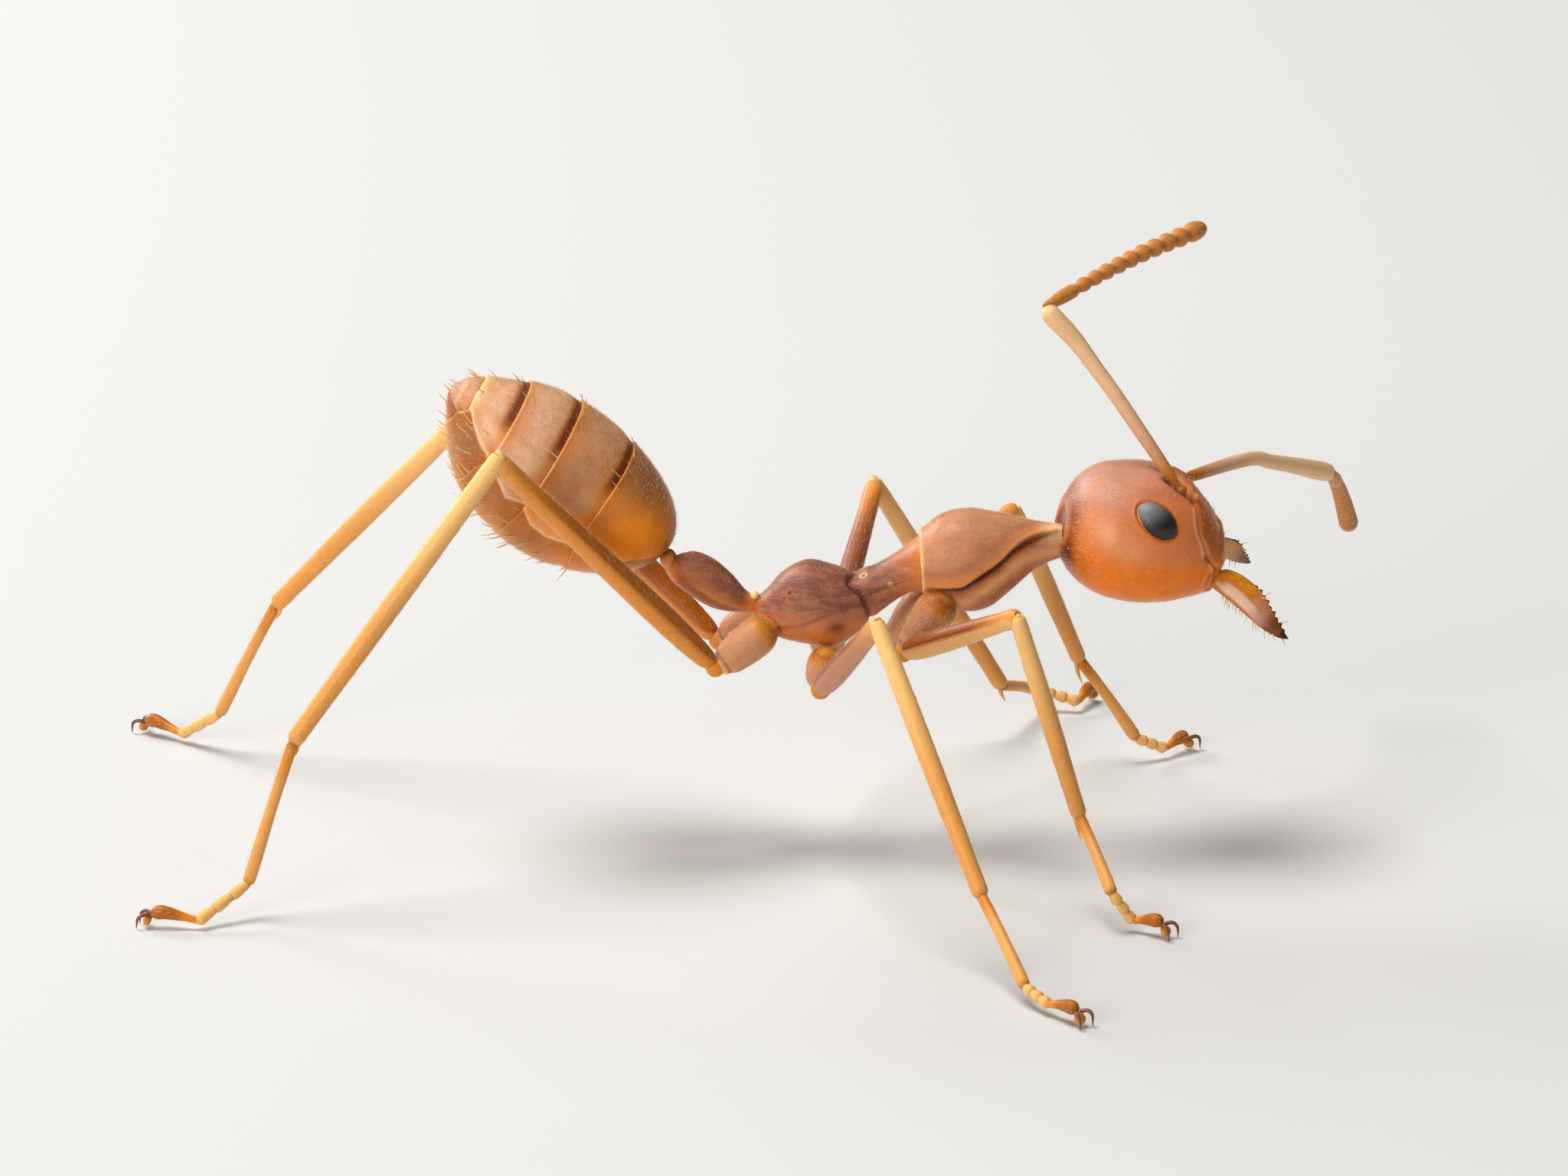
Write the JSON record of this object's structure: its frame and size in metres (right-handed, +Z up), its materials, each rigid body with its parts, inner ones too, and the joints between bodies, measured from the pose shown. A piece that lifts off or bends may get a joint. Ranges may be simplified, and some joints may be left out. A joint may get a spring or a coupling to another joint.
{
  "type": "weaver ant worker",
  "caption": "Life-size still model of a major weaver ant worker standing alert: jaws open, feelers raised, gaster lifted, with thickened legs and feelers.",
  "frame": {"origin": "on the floor, under the middle of the whole stance", "axes": "+X the way the ant faces, +Y its left side, +Z up"},
  "size_m": [0.0136, 0.0114, 0.0063],
  "materials": {
    "head_cuticle": "satin amber-orange cuticle with fine pitting",
    "eye_lens": "black facetted eye with a soft sheen",
    "mandible_cuticle": "pinkish brown blade with near-black teeth",
    "antenna_cuticle": "pale pink to ochre-orange cuticle with short down",
    "trunk_cuticle": "satin red-brown cuticle with a grey bloom",
    "gaster_cuticle": "taupe-pink plates with pale edges and silky down",
    "leg_cuticle": "translucent orange-brown cuticle, yellower towards the feet"
  },
  "bodies": {
    "root": {"head": "head_cuticle", "eye_right": "eye_lens", "mandible_right": "mandible_cuticle", "scape_right": "antenna_cuticle", "funiculus_right": "antenna_cuticle", "eye_left": "eye_lens", "mandible_left": "mandible_cuticle", "scape_left": "antenna_cuticle", "funiculus_left": "antenna_cuticle", "prothorax": "trunk_cuticle", "mesothorax": "trunk_cuticle", "propodeum": "trunk_cuticle", "petiole": "trunk_cuticle", "gaster_segment_1": "gaster_cuticle", "gaster_segment_2": "gaster_cuticle", "gaster_segment_3": "gaster_cuticle", "gaster_segment_4": "gaster_cuticle", "gaster_segment_5": "gaster_cuticle", "coxa_fore_right": "leg_cuticle", "femur_fore_right": "leg_cuticle", "tibia_fore_right": "leg_cuticle", "tarsus_fore_right": "leg_cuticle", "coxa_fore_left": "leg_cuticle", "femur_fore_left": "leg_cuticle", "tibia_fore_left": "leg_cuticle", "tarsus_fore_left": "leg_cuticle", "coxa_mid_right": "leg_cuticle", "femur_mid_right": "leg_cuticle", "tibia_mid_right": "leg_cuticle", "tarsus_mid_right": "leg_cuticle", "coxa_mid_left": "leg_cuticle", "femur_mid_left": "leg_cuticle", "tibia_mid_left": "leg_cuticle", "tarsus_mid_left": "leg_cuticle", "coxa_hind_right": "leg_cuticle", "femur_hind_right": "leg_cuticle", "tibia_hind_right": "leg_cuticle", "tarsus_hind_right": "leg_cuticle", "coxa_hind_left": "leg_cuticle", "femur_hind_left": "leg_cuticle", "tibia_hind_left": "leg_cuticle", "tarsus_hind_left": "leg_cuticle"}
  },
  "joints": []
}
